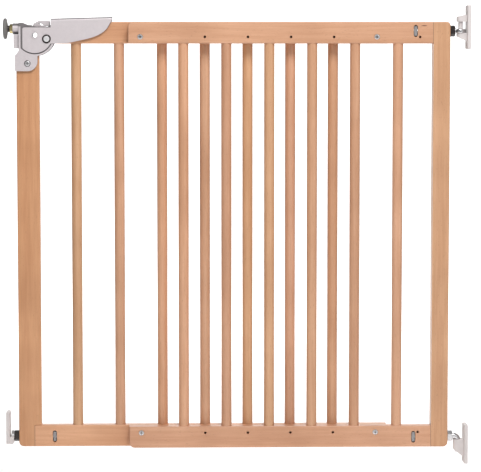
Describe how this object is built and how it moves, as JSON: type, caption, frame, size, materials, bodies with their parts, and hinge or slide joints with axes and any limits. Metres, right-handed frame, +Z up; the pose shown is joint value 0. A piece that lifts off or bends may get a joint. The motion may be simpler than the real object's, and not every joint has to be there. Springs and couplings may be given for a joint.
{
  "type": "extending wooden safety gate",
  "caption": "Extending wooden safety gate: two overlapping frames of round bars, lift-and-swing hinge with wall fittings, and a lever latch with a wall pad and a thumb catch.",
  "frame": {"origin": "on the wall face of the hinge-side fittings, in the upright plane of the hinge axis, level with the underside of the posts", "axes": "+X into the hinge-side wall, so the gate reaches along -X; +Y away from the front; +Z up"},
  "size_m": [0.7841, 0.0536, 0.7764],
  "materials": {
    "beech": "clear satin lacquer",
    "white_plastic": "matte",
    "satin_steel": "satin",
    "zinc_steel": "bright zinc",
    "dark_steel": "dark satin",
    "yellow_zinc": "yellow zinc",
    "rubber": "matte"
  },
  "bodies": {
    "wall_fittings": {"upper_hinge_bracket": "white_plastic", "lower_hinge_bracket": "white_plastic"},
    "hinge_post": {"upper_hinge_post": "white_plastic"},
    "right_frame": {"right_post": "beech", "front_top_rail": "beech", "front_bottom_rail": "beech", "front_bar_1": "beech", "front_bar_2": "beech", "front_bar_3": "beech", "front_bar_4": "beech", "front_bar_5": "beech", "front_bar_6": "beech", "corner_dowels": "beech", "upper_eye_bolt": "zinc_steel", "lower_hook_bolt": "zinc_steel", "upper_lock_nut": "dark_steel", "lower_lock_nut": "zinc_steel", "front_slot_nuts": "zinc_steel", "frame_screws": "zinc_steel"},
    "left_frame": {"left_post": "beech", "rear_top_rail": "beech", "rear_bottom_rail": "beech", "rear_bar_1": "beech", "rear_bar_2": "beech", "rear_bar_3": "beech", "rear_bar_4": "beech", "rear_bar_5": "beech", "rear_bar_6": "beech", "rear_bar_7": "beech", "cradle_bolt": "zinc_steel", "cradle_lock_nut": "dark_steel", "cradle_slot_nut": "zinc_steel", "latch_bracket_front": "satin_steel", "latch_bracket_rear": "satin_steel", "bracket_screws": "zinc_steel", "bracket_rivets": "zinc_steel", "pivot_tube": "satin_steel", "catch_pin": "zinc_steel", "catch_leaf_spring": "zinc_steel"},
    "lock_wall_fitting": {"lock_side_cradle": "white_plastic"},
    "lever": {"latch_lever": "satin_steel", "crank_studs": "satin_steel", "crank_washers": "dark_steel"},
    "latch_slide": {"slide_carriage": "satin_steel", "spindle_boss": "satin_steel", "spindle_lock_nut": "yellow_zinc"},
    "pad": {"wall_pad": "rubber", "pad_socket": "dark_steel"},
    "spindle": {"spindle": "dark_steel"},
    "catch": {"safety_catch": "satin_steel"}
  },
  "joints": [
    {"name": "gate_swing", "type": "hinge", "parent": "wall_fittings", "child": "hinge_post", "pos_m": [-0.016, 0, 0], "axis": [0, 0, 1], "range_deg": [-90, 90]},
    {"name": "gate_lift", "type": "slide", "parent": "hinge_post", "child": "right_frame", "axis": [0, 0, 1], "range_m": [0, 0.012]},
    {"name": "width_adjust", "type": "slide", "parent": "right_frame", "child": "left_frame", "axis": [-1, 0, 0], "range_m": [0, 0.2888]},
    {"name": "cradle_wall_place", "type": "slide", "parent": "wall_fittings", "child": "lock_wall_fitting", "axis": [-1, 0, 0], "range_m": [0, 0.2888]},
    {"name": "lever_lift", "type": "hinge", "parent": "left_frame", "child": "lever", "pos_m": [-0.7312, 0.0194, 0.6976], "axis": [0, -1, 0], "range_deg": [0, 45]},
    {"name": "slide_retract", "type": "slide", "parent": "left_frame", "child": "latch_slide", "axis": [1, 0, 0], "range_m": [0, 0.00701]},
    {"name": "pad_advance", "type": "slide", "parent": "latch_slide", "child": "pad", "axis": [-1, 0, 0], "range_m": [0, 0.01]},
    {"name": "spindle_turn", "type": "hinge", "parent": "pad", "child": "spindle", "pos_m": [-0.7841, 0.0194, 0.7084], "axis": [-1, 0, 0], "range_deg": [0, 2881]},
    {"name": "catch_press", "type": "hinge", "parent": "left_frame", "child": "catch", "pos_m": [-0.7297, 0.0194, 0.7084], "axis": [0, 1, 0], "range_deg": [0, 15], "stiffness_Nm_per_rad": 0.6, "springref_deg": -5.73, "deforming": ["catch_leaf_spring"]}
  ],
  "couplings": [
    {"joint": "cradle_wall_place", "follows": "width_adjust", "ratio": 1},
    {"joint": "slide_retract", "follows": "lever_lift", "m_per_rad": 0.0089127},
    {"joint": "spindle_turn", "follows": "pad_advance", "rad_per_m": 5026.5}
  ]
}
